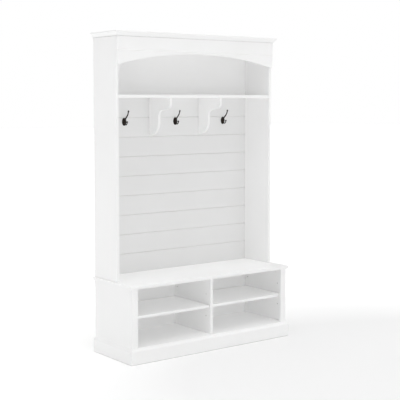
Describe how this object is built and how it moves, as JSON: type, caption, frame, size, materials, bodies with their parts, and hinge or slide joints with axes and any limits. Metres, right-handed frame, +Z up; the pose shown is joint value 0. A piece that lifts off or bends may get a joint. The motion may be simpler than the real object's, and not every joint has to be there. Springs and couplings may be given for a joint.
{
  "type": "hall tree with hooks",
  "caption": "Free-standing hall tree: a cubby bench with adjustable shelves under a boarded hutch with coat hooks, a fixed shelf, an arched frieze and a crown.",
  "frame": {"origin": "on the floor, at the middle of the tree's width and depth", "axes": "+Z up, +X to the right as one faces the front, +Y towards the wall, so the front faces -Y"},
  "size_m": [1.168, 0.396, 1.829],
  "materials": {
    "white_paint": "satin paint on fibreboard",
    "dark_bronze": "dark oil-rubbed bronze, satin",
    "zinc_steel": "zinc plated",
    "beech": "bare fluted dowel",
    "white_plastic": "matte moulded cap"
  },
  "bodies": {
    "carcase": {"bench_side_left": "white_paint", "bench_side_right": "white_paint", "bench_bottom": "white_paint", "bench_partition": "white_paint", "bench_back": "white_paint", "bench_seat": "white_paint", "stile_left": "white_paint", "stile_right": "white_paint", "bottom_rail": "white_paint", "base_rear_rail": "white_paint", "base_middle_support": "white_paint", "plinth_front": "white_paint", "plinth_left": "white_paint", "plinth_right": "white_paint", "shelf_pins_left": "zinc_steel", "shelf_pins_right": "zinc_steel", "hutch_side_left": "white_paint", "hutch_side_right": "white_paint", "hutch_back": "white_paint", "upper_back": "white_paint", "hutch_shelf": "white_paint", "hutch_top": "white_paint", "wall_cleat": "white_paint", "frieze": "white_paint", "frieze_bead": "white_paint", "crown_front": "white_paint", "crown_left": "white_paint", "crown_right": "white_paint", "divider_left": "white_paint", "divider_right": "white_paint", "hook_left": "dark_bronze", "hook_middle": "dark_bronze", "hook_right": "dark_bronze", "hook_screws": "dark_bronze", "cam_locks": "zinc_steel", "cam_bolts": "zinc_steel", "cam_caps": "white_plastic", "dowels": "beech", "joining_plates": "zinc_steel", "joining_screws": "zinc_steel", "back_screws": "zinc_steel"},
    "left_shelf": {"cubby_shelf_left": "white_paint"},
    "right_shelf": {"cubby_shelf_right": "white_paint"}
  },
  "joints": [
    {"name": "left_shelf_lift", "type": "slide", "parent": "carcase", "child": "left_shelf", "axis": [0, 0, 1], "range_m": [0, 0.156]},
    {"name": "right_shelf_lift", "type": "slide", "parent": "carcase", "child": "right_shelf", "axis": [0, 0, 1], "range_m": [0, 0.156]}
  ]
}
